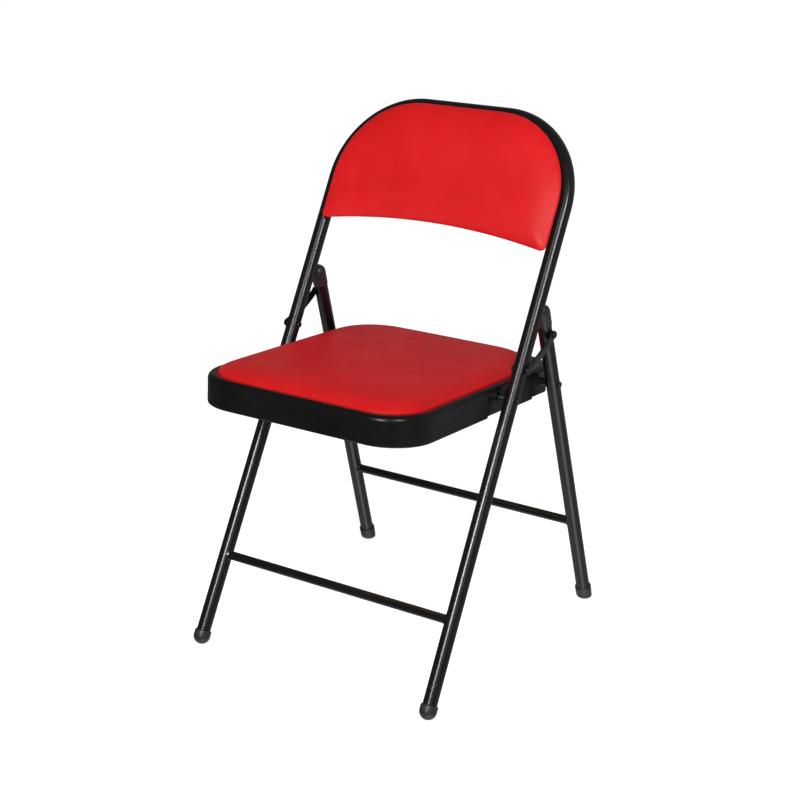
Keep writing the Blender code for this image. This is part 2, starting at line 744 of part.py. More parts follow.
# Seat cushion: tucked under the lip, rounder at the rear corners than the rim
pad_line = seat_outline(*pad_corners)
flange_in = pad_in - SEAT_PAD_TUCK
flange_top = pad_base + SEAT_PAD_FLANGE
pad_edge = flange_top + SEAT_PAD_SIDE
flange_edge = flange_top - SEAT_PAD_UNDER
rings = [seat_ring(pad_line, flange_in, pad_base), seat_ring(pad_line, flange_in, flange_edge)]
rings.append(seat_ring(pad_line, pad_in, flange_top))
for inset, up in pad_side(SEAT_PAD_ROLL, SEAT_PAD_RISE, SEAT_PAD_POWER):
    rings.append(seat_ring(pad_line, pad_in + inset, pad_edge + up))
middle_f = (seat_front + seat_rear) / 2
pad_top = pad_edge + SEAT_PAD_RISE
for k in CROWN_RINGS:
    w = pad_top + SEAT_PAD_CROWN * (1 - k * k)
    rings.append([seat_point(x * k, middle_f + (f - middle_f) * k, w) for x, f, nx, nf in pad_line])
piece("seat_cushion", SEAT, "red_vinyl",
      pad(rings, seat_point(0, middle_f, pad_top + SEAT_PAD_CROWN)))

# Back rest outline, in x and s
back_half = HOOP_X - BACK_SIDE_IN
back_r = HOOP_CORNER_R - BACK_CORNER_IN
back_top = HOOP_TOP_S - BACK_TOP_IN
back_low = HOOP_TOP_S - BACK_HEIGHT
back_corner = back_low - BACK_ARCH
back_mid = (back_top + back_corner) / 2
back_mid_h = (back_top - back_corner) / 2


def back_outline():
    """The back rest's outline, anticlockwise from the lower middle."""
    half_loop = []
    edge = back_half - BACK_LOW_R
    for i in range(10):
        k = i / 9 * 0.985
        half_loop.append((edge * k, back_low - BACK_ARCH * k * k))
    half_loop += arc((edge, back_corner + BACK_LOW_R), BACK_LOW_R, -82, 0, 6)
    half_loop += arc((back_half - back_r, back_top - back_r), back_r, 0, 90, CORNER_STEPS)
    half_loop.append((0.0, back_top))
    mirrored = [(-x, s) for x, s in half_loop[1:-1]]
    return half_loop + mirrored[::-1]


BACK = back_outline()


def back_ring(inset, n):
    """The back rest's outline drawn in evenly at one depth."""
    fx = 1 - inset / back_half
    fs = 1 - inset / back_mid_h
    return [hoop_point(x * fx, back_mid + (s - back_mid) * fs, n) for x, s in BACK]


# Back board in front of the hoop, in the pocket of its cushion
board_rear = -(TUBE_R + GAP)
board_front = board_rear - BACK_BOARD_T
board_in = BACK_PAD_WRAP + GAP
back_board = piece("back_board", FRAME, "back_cover",
                   loft([back_ring(board_in, board_front), back_ring(board_in, board_rear)]),
                   smooth=False)

# Back cushion: round the board's edge, out to its widest line, then in over the face
wrap_rear = board_rear - BACK_PAD_SET
pad_edge = wrap_rear - BACK_PAD_SIDE
rings = [back_ring(BACK_PAD_WRAP, board_front - GAP), back_ring(BACK_PAD_WRAP, wrap_rear)]
for u, d in arc((BACK_PAD_EDGE, BACK_PAD_SIDE), 1.0, -90, -180, 3)[:-1]:
    inset = BACK_PAD_EDGE + (u - BACK_PAD_EDGE) * BACK_PAD_EDGE
    depth = BACK_PAD_SIDE + (d - BACK_PAD_SIDE) * BACK_PAD_SIDE
    rings.append(back_ring(inset, wrap_rear - depth))
for inset, out in pad_side(BACK_PAD_ROLL, BACK_PAD_RISE, BACK_PAD_POWER):
    rings.append(back_ring(inset, pad_edge - out))
pad_top = pad_edge - BACK_PAD_RISE
for k in CROWN_RINGS:
    n = pad_top - BACK_PAD_CROWN * (1 - k * k)
    rings.append([hoop_point(x * k, back_mid + (s - back_mid) * k, n) for x, s in BACK])
piece("back_cushion", FRAME, "red_vinyl",
      pad(rings, hoop_point(0, back_mid, pad_top - BACK_PAD_CROWN)))

# Tabs welded to the hoop's inner side, with screws into the back board
tab_front = board_rear + GAP
tab_rear = tab_front + BACK_TAB_T
reach = math.sqrt((TUBE_R + GAP) ** 2 - tab_rear ** 2)
low_s = back_low + BACK_TAB_RISE
high_x = HOOP_X - HOOP_CORNER_R - BACK_TAB_W / 2
low_tab = (HOOP_X - BACK_TAB_REACH, HOOP_X - reach, low_s - BACK_TAB_W / 2, low_s + BACK_TAB_W / 2)
high_tab = (high_x - BACK_TAB_W / 2, high_x + BACK_TAB_W / 2, HOOP_TOP_S - BACK_TAB_REACH,
            HOOP_TOP_S - reach)
BACK_TABS = (
    ("lower", low_tab, HOOP_X - BACK_SCREW_IN, low_s),
    ("upper", high_tab, high_x, HOOP_TOP_S - BACK_SCREW_IN),
)
ahead = hoop_point(0, 0, -1) - hoop_point(0, 0, 0)
board_holes = []
for side, word in SIDES:
    for place, (x0, x1, s0, s1), screw_x, screw_s in BACK_TABS:
        flat = [(x0, s0), (x1, s0), (x1, s1), (x0, s1)]
        rings = [[hoop_point(side * x, s, n) for x, s in flat] for n in (tab_front, tab_rear)]
        name = place + "_" + word
        tab = piece("back_tab_" + name, FRAME, "black_paint", loft(rings), smooth=False)
        base = hoop_point(side * screw_x, screw_s)
        cut(tab, [drill(base, ahead, -tab_rear - CUT_PAST, -tab_front + CUT_PAST)])
        bite = -board_front - SCREW_SKIN
        board_holes.append(drill(base, ahead, -board_rear - CUT_PAST, bite + GAP))
        screw("back_screw_" + name, FRAME, base, ahead, -tab_rear - GAP, bite)
cut(back_board, board_holes)

bpy.context.view_layer.update()
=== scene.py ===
"""Looks of the padded folding chair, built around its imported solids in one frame, in metres."""
import json
import math

import bmesh
import bpy
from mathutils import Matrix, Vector


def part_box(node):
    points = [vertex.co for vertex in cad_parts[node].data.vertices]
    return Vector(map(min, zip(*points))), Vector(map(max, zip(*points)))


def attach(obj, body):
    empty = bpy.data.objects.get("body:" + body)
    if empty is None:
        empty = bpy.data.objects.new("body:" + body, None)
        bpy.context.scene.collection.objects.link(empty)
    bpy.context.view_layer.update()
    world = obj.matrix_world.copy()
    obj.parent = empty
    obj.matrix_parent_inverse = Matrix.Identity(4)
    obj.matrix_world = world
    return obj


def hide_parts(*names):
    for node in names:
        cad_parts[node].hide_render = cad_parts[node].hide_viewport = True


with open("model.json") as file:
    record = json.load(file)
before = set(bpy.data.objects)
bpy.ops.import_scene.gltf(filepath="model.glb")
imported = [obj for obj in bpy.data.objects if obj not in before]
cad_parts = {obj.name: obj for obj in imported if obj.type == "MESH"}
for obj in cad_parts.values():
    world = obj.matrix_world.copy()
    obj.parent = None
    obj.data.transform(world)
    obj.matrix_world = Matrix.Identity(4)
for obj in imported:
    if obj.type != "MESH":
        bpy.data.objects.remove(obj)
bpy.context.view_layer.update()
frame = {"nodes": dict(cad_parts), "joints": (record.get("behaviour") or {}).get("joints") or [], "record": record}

# Sizes that the fine pieces share with the solids
GAP = 0.0003
TUBE_R = 0.011
BRACE_R = 0.007
LEAN = math.radians(29.35)
HOOP_FOOT_X = 0.2119
HOOP_FOOT_Y = -0.2368
HOOP_X = 0.2088
HOOP_BEND_S = 0.4590
HOOP_TOP_S = 0.9170
HOOP_CORNER_R = 0.1346
FRONT_BRACE_Z = 0.1287
LEG_FOOT_X = 0.2186
LEG_FOOT_Y = 0.2484
LEG_PIVOT_X = 0.2098
REAR_BRACE_Z = 0.1524
CAP_WALL = 0.0010
CAP_SKIRT = 0.0225
FOOT_WALL = 0.0023
FOOT_FRONT_H = 0.0200
FOOT_FRONT_FLAT = 0.0012
FOOT_REAR_H = 0.0240
FOOT_TAPER = 0.0010
FOOT_FLOOR = 0.0105
PIN_R = 0.0036
HEAD_LIP = 0.0020
TAIL_LIP = 0.0014
HEAD_H = 0.0026
HEAD_EDGE = 0.0007
FLANGE_LIP = 0.0024
BUSH_R = 0.0061
LINK_T = 0.0026
LINK_HALF = 0.0066
LINK_SAG = 0.0030
LINK_CLEAR = 0.0008
PIVOT_SLOPE = math.radians(1.11)
PIVOT_W = 0.0247
SEAT_HALF = 0.1920
SEAT_FRONT = -0.2612
SEAT_REAR_REACH = 0.0570
SEAT_R_FRONT = 0.070
SEAT_R_REAR = 0.060
RIM_T = 0.0013
RIM_BEND = 0.0030
RIM_FLANGE = 0.0110
RIM_ROLL = 0.0080
RIM_LIP = 0.0020
RIM_LIP_DROP = 0.0002
RECESS_DEPTH = 0.0050
RECESS_BLEND = 0.0061
RECESS_EDGE = 0.0060
RECESS_AHEAD = 0.0390
RECESS_BEHIND = 0.0260
LEG_RECESS_AHEAD = 0.0320
SEAT_PAD_FLANGE = 0.0043
SEAT_PAD_TUCK = 0.0034
SEAT_PAD_CLEAR = 0.0020
SEAT_PAD_UNDER = 0.0005
SEAT_PAD_SIDE = 0.0038
SEAT_PAD_R_FRONT = 0.066
SEAT_PAD_R_REAR = 0.087
BACK_SIDE_IN = 0.0046
BACK_CORNER_IN = 0.0025
BACK_TOP_IN = 0.0008
BACK_HEIGHT = 0.1905
BACK_ARCH = 0.0172
BACK_LOW_R = 0.0090
BACK_BOARD_T = 0.0050
BACK_PAD_WRAP = 0.0065
BACK_PAD_SET = 0.0004
BACK_PAD_SIDE = 0.0028
BACK_PAD_EDGE = 0.0030

# Fine edges and welds, which the solids have plainer or not at all
FOOT_EDGE = 0.0022
FOOT_REAR_ROUND = 0.0055
LINK_EDGE = 0.0006
SOCKET_CLEAR = 0.0001
SOCKET_DEPTH = 0.004
CAP_LIP_EDGE = 0.0004
BUSH_EDGE = 0.0004
HEAD_FOOT = 0.0003
LIP_EDGE = 0.0004
BOARD_EDGE = 0.0008
TAB_EDGE = 0.0004
SCREW_EDGE = 0.0002
WELD = 0.0016
WELD_RUN = 0.0034
WELD_FALL = 2.2
WELD_RIPPLE = 0.12
WELD_WAVES = 9.0
# Rows of points this close by the rim's bends keep its flats flat
CLOSE_BY = 0.0006
# A link's rounded edges: shares of LINK_EDGE in from a face, and drawn in from the outline there
LINK_ROUND = ((0.0, 1.0), (0.3, 0.3), (1.0, 0.0))

# How the cushions start before they are swollen, and how far a point may move
SEAT_START = {"roll": 0.0360, "rise": 0.0116, "full": 0.80, "crown": 0.0044}
BACK_START = {"roll": 0.0380, "rise": 0.0110, "full": 0.66, "crown": 0.0024}
SEAT_SWELL = 0.0012
BACK_SWELL = 0.0010
PAD_STEPS = 40
PAD_SIDE_STEPS = 12
PAD_SIDE_GATHER = 2.2
SEAT_GATHER = 0.25
BACK_GATHER = 0.72
# Rows of a cushion's side above its edge that stay held while it fills
HELD_ROWS = 3
FILL_EVENING = 12
# Share of the crown from which a point takes its whole rise
WHOLE_RISE = 0.6
CLOTH = {"quality": 6, "mass": 0.3, "tension_stiffness": 22, "compression_stiffness": 22,
         "shear_stiffness": 12, "bending_stiffness": 1.2, "use_pressure": True,
         "uniform_pressure_force": 4.0, "vertex_group_mass": "held"}
CLOTH_FRAMES = 20

# Fineness: sides of round pieces, and steps along curves and edges
TUBE_SIDES = 48
PIN_SIDES = 32
CORNER_STEPS = 32
CAP_STEPS = 14
FOOT_EDGE_STEPS = 8
FOOT_END_STEPS = 16
FOOT_ROUND_STEPS = 7
WELD_STEPS = 8
HEAD_STEPS = 9
LINK_END_STEPS = 20
LINK_SIDE_STEPS = 16
HEEL_STEPS = 6
ROLL_STEPS = 10
BLEND_STEPS = 5
PRESS_STEPS = 8
WRAP_STEPS = 5
LOW_EDGE_STEPS = 19
LOW_CORNER_STEPS = 12
EDGE_SEGMENTS = 2

# The back rest's lower edge stops at this share of its half width, where its corner starts
LOW_EDGE_SHARE = 0.985
LOW_CORNER_START = -82

# Angles between faces, in degrees, from which an edge is sharp, on hard and on soft pieces
SHARP = 35.0
SOFT_SHARP = 60.0
# Faces that turn by less than this, in degrees, are one flat face
FLAT = 1

# Distances that count as nothing
ON_AXIS = 1e-7
SAME_POINT = 1e-6
ROUNDING = 1e-12
LEAST_STEP = 1e-9

RECORD = frame["record"]
BODY_OF = {n: body for body, group in RECORD["behaviour"]["bodies"].items() for n in group}
SLOT_OF = {row["node"]: row["material_slot"] for row in RECORD["subparts"]}
PIVOT = {joint["name"]: Vector(joint["pos_m"]) for joint in frame["joints"]}
SIDES = ((-1, "left"), (1, "right"))
LEAN_S = math.sin(LEAN)
LEAN_C = math.cos(LEAN)

# The four pivot axes, all along X
P_SEAT = PIVOT["seat_pivot"]
P_LINK = PIVOT["link_pivot"]
P_LEG = PIVOT["rear_leg_pivot"]
end_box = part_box("link_end_rivet_right")
P_END = (end_box[0] + end_box[1]) / 2
P_END.x = 0.0


def hoop_point(x, s, n=0.0):
    """A point given in the hoop's leaning plane."""
    return Vector((x, HOOP_FOOT_Y + s * LEAN_S + n * LEAN_C, s * LEAN_C - n * LEAN_S))


def hoop_x(s):
    """Half spacing of the hoop's two legs at s."""
    return HOOP_FOOT_X + (HOOP_X - HOOP_FOOT_X) * min(s / HOOP_BEND_S, 1.0)


def leg_point(side, z):
    """A point on a rear leg's axis at height z."""
    k = z / P_LEG.z
    x = LEG_FOOT_X + (LEG_PIVOT_X - LEG_FOOT_X) * k
    return Vector((side * x, LEG_FOOT_Y + (P_LEG.y - LEG_FOOT_Y) * k, z))


seat_span = P_LEG - P_SEAT
seat_tilt = math.atan2(-seat_span.z, seat_span.y) - PIVOT_SLOPE
TILT_S = math.sin(seat_tilt)
TILT_C = math.cos(seat_tilt)
LEG_F = seat_span.length * math.cos(PIVOT_SLOPE)
SEAT_REAR = LEG_F + SEAT_REAR_REACH
RAIL_X = SEAT_HALF - RECESS_DEPTH


def seat_point(x, f, w):
    """A point given in the seat's tilted plane."""
    up = w - PIVOT_W
    return Vector((x, P_SEAT.y + f * TILT_C + up * TILT_S, P_SEAT.z - f * TILT_S + up * TILT_C))


class Finish:
    """Short calls that build one material's nodes on the object's own coordinates."""

    def __init__(self, name):
        self.mat = bpy.data.materials.new(name)
        self.mat.use_nodes = True
        self.tree = self.mat.node_tree
        self.shader = self.tree.nodes["Principled BSDF"]
        self.place = self.node("TexCoord").outputs["Object"]

    def node(self, kind, **fields):
        """A new node with its fields set."""
        node = self.tree.nodes.new("ShaderNode" + kind)
        for key, value in fields.items():
            setattr(node, key, value)
        return node

    def feed(self, node, name, value):
        """Link an output, or set a number or colour."""
        if isinstance(value, bpy.types.NodeSocket):
            self.tree.links.new(value, node.inputs[name])
        else:
            node.inputs[name].default_value = value

    def stretched(self, scale):
        """The object's coordinates, scaled along each axis."""
        node = self.node("Mapping")
        self.feed(node, "Vector", self.place)
        self.feed(node, "Scale", scale)
        return node.outputs["Vector"]

    def noise(self, scale, detail=3.0, rough=0.5, place=None):
        """Cloudy noise from 0 to 1."""
        node = self.node("TexNoise")
        self.feed(node, "Vector", place or self.place)
        self.feed(node, "Scale", scale)
        self.feed(node, "Detail", detail)
        self.feed(node, "Roughness", rough)
        return node.outputs["Fac"]

    def cells(self, scale):
        """Distance to the middle of rounded cells."""
        node = self.node("TexVoronoi", feature="SMOOTH_F1")
        self.feed(node, "Vector", self.place)
        self.feed(node, "Scale", scale)
        return node.outputs["Distance"]

    def bands(self, scale, distortion, place):
        """Wavy bands, as of wood."""
        node = self.node("TexWave", wave_type="BANDS", bands_direction="Y")
        self.feed(node, "Vector", place)
        self.feed(node, "Scale", scale)
        self.feed(node, "Distortion", distortion)
        self.feed(node, "Detail", 3.0)
        self.feed(node, "Detail Scale", 1.6)
        return node.outputs["Fac"]

    def ramp(self, factor, *stops):
        """Colours by a factor, from stops of place and colour."""
        node = self.node("ValToRGB")
        while len(node.color_ramp.elements) < len(stops):
            node.color_ramp.elements.new(1.0)
        for element, (spot, color) in zip(node.color_ramp.elements, stops):
            element.position = spot
            element.color = (*color, 1.0)
        self.feed(node, "Fac", factor)
        return node.outputs["Color"]

    def span(self, factor, low, high, start=0.3, stop=0.7):
        """A number from low to high as a factor goes from start to stop."""
        node = self.node("MapRange")
        self.feed(node, "Value", factor)
        ends = {"From Min": start, "From Max": stop, "To Min": low, "To Max": high}
        for key, value in ends.items():
            self.feed(node, key, value)
        return node.outputs["Result"]

    def mixed(self, factor, first, second):
        """Two colours mixed by a factor."""
        node = self.node("Mix", data_type="RGBA")
        self.feed(node, 0, factor)
        self.feed(node, 6, first)
        self.feed(node, 7, second)
        return node.outputs[2]

    def total(self, first, second, share):
        """A number plus a share of a second one."""
        node = self.node("Math", operation="MULTIPLY_ADD")
        self.feed(node, 0, second)
        self.feed(node, 1, share)
        self.feed(node, 2, first)
        return node.outputs["Value"]

    def bump(self, height, depth, strength=1.0):
        """Fine relief of the surface."""
        node = self.node("Bump")
        self.feed(node, "Height", height)
        self.feed(node, "Distance", depth)
        self.feed(node, "Strength", strength)
        self.feed(self.shader, "Normal", node.outputs["Normal"])

    def set(self, **values):
        """Set or link the shader's own inputs, with _ for each space in their names."""
        for key, value in values.items():
            self.feed(self.shader, key.replace("_", " "), value)


def enamel(name, least, most, level, coat):
    """Black enamel: faint orange peel, gloss between two roughnesses, and a little dust."""
    m = Finish(name)
    cloud = m.noise(14.0, 4.0)
    color = m.ramp(cloud, (0.30, (0.0030, 0.0030, 0.0033)), (0.70, (0.0055, 0.0055, 0.0060)))
    dust = m.span(m.noise(900.0, 2.0), 0.0, 0.5, 0.70, 0.80)
    m.set(Base_Color=m.mixed(dust, color, (0.030, 0.030, 0.032, 1.0)))
    m.set(Roughness=m.span(m.noise(38.0, 5.0, 0.6), least, most))
    m.set(Specular_IOR_Level=level, Coat_Weight=coat, Coat_Roughness=least * 0.8)
    m.bump(m.total(m.noise(420.0, 2.0), m.noise(60.0, 1.0), 1.2), 0.000014)
    return m.mat


def black_paint():
    """Gloss enamel of the tubes and links."""
    return enamel("black_paint_enamel", 0.22, 0.29, 0.5, 0.20)


def black_rubber():
    """Moulded dark grey rubber: matte, mottled, with a fine grain."""
    m = Finish("dark_rubber_moulded")
    cloud = m.noise(55.0, 4.0, 0.6)
    m.set(Base_Color=m.ramp(cloud, (0.30, (0.014, 0.014, 0.015)), (0.72, (0.028, 0.028, 0.030))))
    m.set(Roughness=m.span(m.noise(240.0, 3.0), 0.30, 0.44))
    m.bump(m.total(m.noise(1500.0, 2.0), m.noise(130.0, 2.0), 1.5), 0.00012)
    return m.mat


def red_vinyl():
    """Smooth red vinyl: very fine leather grain, slightly uneven colour and gloss."""
    m = Finish("red_vinyl_cover")
    cloud = m.noise(9.0, 4.0, 0.55)
    color = m.ramp(cloud, (0.30, (0.555, 0.0040, 0.0058)), (0.70, (0.640, 0.0070, 0.0086)))
    grain = m.cells(760.0)
    pores = m.span(grain, 0.16, 0.0, 0.05, 0.45)
    m.set(Base_Color=m.mixed(pores, color, (0.36, 0.004, 0.008, 1.0)))
    m.set(Roughness=m.span(m.noise(26.0, 4.0, 0.6), 0.36, 0.48))
    m.set(Specular_IOR_Level=0.22)
    m.bump(m.total(grain, m.noise(170.0, 3.0), 0.8), 0.00012, 0.8)
    return m.mat


def rivet_steel():
    """Blackened steel of the rivets: dark, worn brighter in patches."""
    m = Finish("rivet_steel_dark")
    wear = m.noise(260.0, 4.0, 0.6)
    m.set(Base_Color=m.ramp(wear, (0.35, (0.020, 0.020, 0.021)), (0.75, (0.085, 0.085, 0.088))))
    m.set(Roughness=m.span(m.noise(520.0, 3.0), 0.24, 0.44), Metallic=0.75)
    m.bump(m.noise(900.0, 2.0), 0.00008)
    return m.mat


def zinc_steel():
    """Dulled zinc plate: grey, clouded, with fine turning marks."""
    m = Finish("zinc_steel_plated")
    cloud = m.noise(180.0, 4.0)
    tints = ((0.30, (0.11, 0.11, 0.12)), (0.55, (0.17, 0.17, 0.18)), (0.75, (0.22, 0.21, 0.20)))
    m.set(Base_Color=m.ramp(cloud, *tints), Metallic=1.0)
    m.set(Roughness=m.span(m.noise(420.0, 3.0), 0.28, 0.46))
    m.bump(m.noise(1100.0, 2.0, place=m.stretched((6.0, 1.0, 1.0))), 0.00006)
    return m.mat


def plywood():
    """Plywood: long grain across the seat with pores, pale to brown."""
    m = Finish("plywood_board")
    long = m.stretched((0.12, 1.0, 1.0))
    grain = m.bands(11.0, 11.0, long)
    fibre = m.noise(420.0, 5.0, 0.65, m.stretched((0.04, 1.0, 1.0)))
    color = m.ramp(grain, (0.10, (0.31, 0.185, 0.095)), (0.85, (0.41, 0.270, 0.145)))
    streaks = m.span(fibre, 0.0, 0.55, 0.50, 0.72)
    m.set(Base_Color=m.mixed(streaks, color, (0.16, 0.085, 0.040, 1.0)))
    m.set(Roughness=m.span(fibre, 0.60, 0.82))
    m.bump(fibre, 0.00020)
    return m.mat


def back_cover():
    """Black backing board: fine pebbled texture."""
    m = Finish("back_cover_pebbled")
    pebble = m.cells(480.0)
    cloud = m.noise(30.0, 4.0)
    m.set(Base_Color=m.ramp(cloud, (0.3, (0.011, 0.011, 0.012)), (0.7, (0.022, 0.022, 0.023))))
    m.set(Roughness=m.span(pebble, 0.42, 0.66, 0.05, 0.6))
    m.bump(pebble, 0.00022)
    return m.mat


FINISHES = {make.__name__: make() for make in
            (black_paint, black_rubber, red_vinyl, rivet_steel, zinc_steel, plywood, back_cover)}
# The pressed rim's enamel is less smooth than the tubes'
FINISH_OF = {"seat_rim": enamel("black_paint_satin", 0.24, 0.32, 0.30, 0.0)}


def arc(center, radius, start, stop, steps):
    """Points of a plane arc, angles in degrees."""
    out = []
    for i in range(steps + 1):
        t = math.radians(start + (stop - start) * i / steps)
        out.append((center[0] + radius * math.cos(t), center[1] + radius * math.sin(t)))
    return out


def frame_about(axis):
    """Two directions square to an axis."""
    helper = Vector((1, 0, 0)) if abs(axis.x) < 0.9 else Vector((0, 1, 0))
    a = axis.cross(helper).normalized()
    return a, axis.cross(a).normalized()


def lathe(profile, origin, axis, sides, ring=False):
    """Turn a profile of (radius, height) about an axis; ring profiles close on themselves."""
    axis = Vector(axis).normalized()
    a, b = frame_about(axis)
    verts = []
    rows = []
    for r, h in profile:
        center = Vector(origin) + axis * h
        count = 1 if r < ON_AXIS else sides
        rows.append([len(verts) + i for i in range(count)])
        for i in range(count):
            t = 2 * math.pi * i / sides
            verts.append(center + (a * math.cos(t) + b * math.sin(t)) * r)
    pairs = list(zip(rows[:-1], rows[1:]))
    if ring:
        pairs.append((rows[-1], rows[0]))
    faces = []
    for low, high in pairs:
        on_axis = len(low) == 1 and len(high) == 1
        for i in range(0 if on_axis else sides):
            j = (i + 1) % sides
            if len(low) == 1:
                faces.append((low[0], high[j], high[i]))
            elif len(high) == 1:
                faces.append((low[i], low[j], high[0]))
            else:
                faces.append((low[i], low[j], high[j], high[i]))
    return verts, faces


def loft(rings, close=False):
    """Skin a stack of rings with equal point counts, with flat ends or closed on itself."""
    count = len(rings[0])
    verts = [p for ring in rings for p in ring]
    last = len(rings) - 1
    pairs = [(i, i + 1) for i in range(last)]
    if close:
        pairs.append((last, 0))
    faces = []
    for i, j in pairs:
        for k in range(count):
            m = (k + 1) % count
            faces.append((i * count + k, i * count + m, j * count + m, j * count + k))
    if not close:
        faces.append(tuple(range(count)))
        faces.append(tuple(last * count + k for k in range(count)))
    return verts, faces


def rod(path, radius, sides):
    """A round bar along a path."""
    rings = []
    a = None
    last = len(path) - 1
    for i, center in enumerate(path):
        ahead = (path[min(i + 1, last)] - path[max(i - 1, 0)]).normalized()
        if a is None:
            a = frame_about(ahead)[0]
        a = (a - ahead * a.dot(ahead)).normalized()
        b = ahead.cross(a)
        turns = [2 * math.pi * k / sides for k in range(sides)]
        rings.append([center + (a * math.cos(t) + b * math.sin(t)) * radius for t in turns])
    return loft(rings)


def settle(obj, node, sharp=SHARP):
    """Smooth a piece, give it the finish of its node's slot and its body, and hide the node so the piece stands
    for it.
    """
    obj.data.shade_smooth()
    obj.data.set_sharp_from_angle(angle=math.radians(sharp))
    obj.data.materials.clear()
    obj.data.materials.append(FINISH_OF.get(node, FINISHES[SLOT_OF[node]]))
    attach(obj, BODY_OF[node])
    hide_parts(node)


def soften(obj, width):
    """Round a piece's sharp edges."""
    mod = obj.modifiers.new("soft_edges", "BEVEL")
    mod.width = width
    mod.segments = EDGE_SEGMENTS
    mod.limit_method = "ANGLE"
    mod.angle_limit = math.radians(SHARP)
    mod.harden_normals = True


def add(name, data):
    """A new object of a mesh, light or camera in the scene."""
    obj = bpy.data.objects.new(name, data)
    bpy.context.scene.collection.objects.link(obj)
    return obj


def new_object(name, solid):
    """An object from points and faces, with the faces pointing out."""
    verts, faces = solid
    mesh = bpy.data.meshes.new(name)
    mesh.from_pydata([tuple(v) for v in verts], [], faces)
    build = bmesh.new()
    build.from_mesh(mesh)
    bmesh.ops.recalc_face_normals(build, faces=build.faces)
    build.to_mesh(mesh)
    build.free()
    return add(name, mesh)


def fine(node, solid):
    """A finer piece that stands for one node."""
    settle(new_object(node + "_fine", solid), node)


def dress(node, bevel):
    """A welded copy of a plain node with rounded edges, which stands for it."""
    build = bmesh.new()
    build.from_mesh(frame["nodes"][node].data)
    bmesh.ops.remove_doubles(build, verts=build.verts, dist=SAME_POINT)
    bmesh.ops.dissolve_limit(build, angle_limit=math.radians(FLAT), verts=build.verts,
                             edges=build.edges)
    mesh = bpy.data.meshes.new(node + "_fine")
    build.to_mesh(mesh)
    build.free()
    obj = add(node + "_fine", mesh)
    settle(obj, node)
    soften(obj, bevel)


def leg_direction(side):
    """Up along a rear leg."""
    return (leg_point(side, P_LEG.z) - leg_point(side, 0.0)).normalized()


def hoop_direction(side):
    """Up along the hoop's lower leg."""
    foot = hoop_point(side * HOOP_FOOT_X, 0.0)
    return (hoop_point(side * HOOP_X, HOOP_BEND_S) - foot).normalized()


def tube_start(foot, axis):
    """Where a tube ends inside its foot cap."""
    return foot + axis * (FOOT_FLOOR / axis.z + GAP)


# Hoop: one tube from foot to foot
corner = (HOOP_X - HOOP_CORNER_R, HOOP_TOP_S - HOOP_CORNER_R)
right_half = [tube_start(hoop_point(HOOP_FOOT_X, 0.0), hoop_direction(1))]
right_half.append(hoop_point(HOOP_X, HOOP_BEND_S))
right_half += [hoop_point(x, s) for x, s in arc(corner, HOOP_CORNER_R, 0, 90, CORNER_STEPS)]
left_half = [Vector((-p.x, p.y, p.z)) for p in right_half]
fine("hoop_tube", rod(left_half + right_half[::-1], TUBE_R, TUBE_SIDES))


def brace(node, middle, half, across):
    """A thin tube between two legs, its ends flared into weld beads on their round sides."""
    up = Vector((0, across.z, -across.y))
    half_rings = []
    for i in range(WELD_STEPS + 1):
        k = i / WELD_STEPS
        ripple = 1 + WELD_RIPPLE * math.sin(WELD_WAVES * k)
        half_rings.append((WELD_RUN * k, BRACE_R + WELD * (1 - k) ** WELD_FALL * ripple))
    rings = []
    for side, steps in ((-1, half_rings), (1, half_rings[::-1])):
        for run, radius in steps:
            ring = []
            for j in range(TUBE_SIDES):
                t = 2 * math.pi * j / TUBE_SIDES
                d = radius * math.cos(t)
                x = half - math.sqrt(TUBE_R ** 2 - d * d) - run
                spot = middle + across * d + up * (radius * math.sin(t))
                ring.append(spot + Vector((side * x, 0, 0)))
            rings.append(ring)
    fine(node, loft(rings))


# Braces, with a small weld bead where they meet the legs
brace_s = FRONT_BRACE_Z / LEAN_C
leg_up = leg_direction(1)
brace("front_brace", hoop_point(0.0, brace_s), hoop_x(brace_s), Vector((0, LEAN_C, -LEAN_S)))
brace("rear_brace", leg_point(0, REAR_BRACE_Z), leg_point(1, REAR_BRACE_Z).x,
      Vector((0, leg_up.z, -leg_up.y)).normalized())

# Rear legs and the rounded caps on their upper ends
cap_r = TUBE_R + CAP_WALL
for side, word in SIDES:
    axis = leg_direction(side)
    foot = leg_point(side, 0.0)
    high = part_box("rear_leg_" + word)[1]
    side_slope = math.sqrt(1 - axis.z ** 2)
    top = foot + axis * ((high.z - TUBE_R * side_slope) / axis.z)
    fine("rear_leg_" + word, rod([tube_start(foot, axis), top], TUBE_R, TUBE_SIDES))
    profile = [(TUBE_R + SOCKET_CLEAR, -CAP_SKIRT), (cap_r - CAP_LIP_EDGE, -CAP_SKIRT)]
    profile.append((cap_r, CAP_LIP_EDGE - CAP_SKIRT))
    profile += arc((0, GAP), cap_r, 0, 90, CAP_STEPS)[:-1] + [(0, GAP + cap_r)]
    fine("leg_top_cap_" + word, lathe(profile, top, axis, TUBE_SIDES))

# Rubber feet: round-ended in front, straight behind
foot_r = TUBE_R + FOOT_WALL
socket_r = TUBE_R + SOCKET_CLEAR


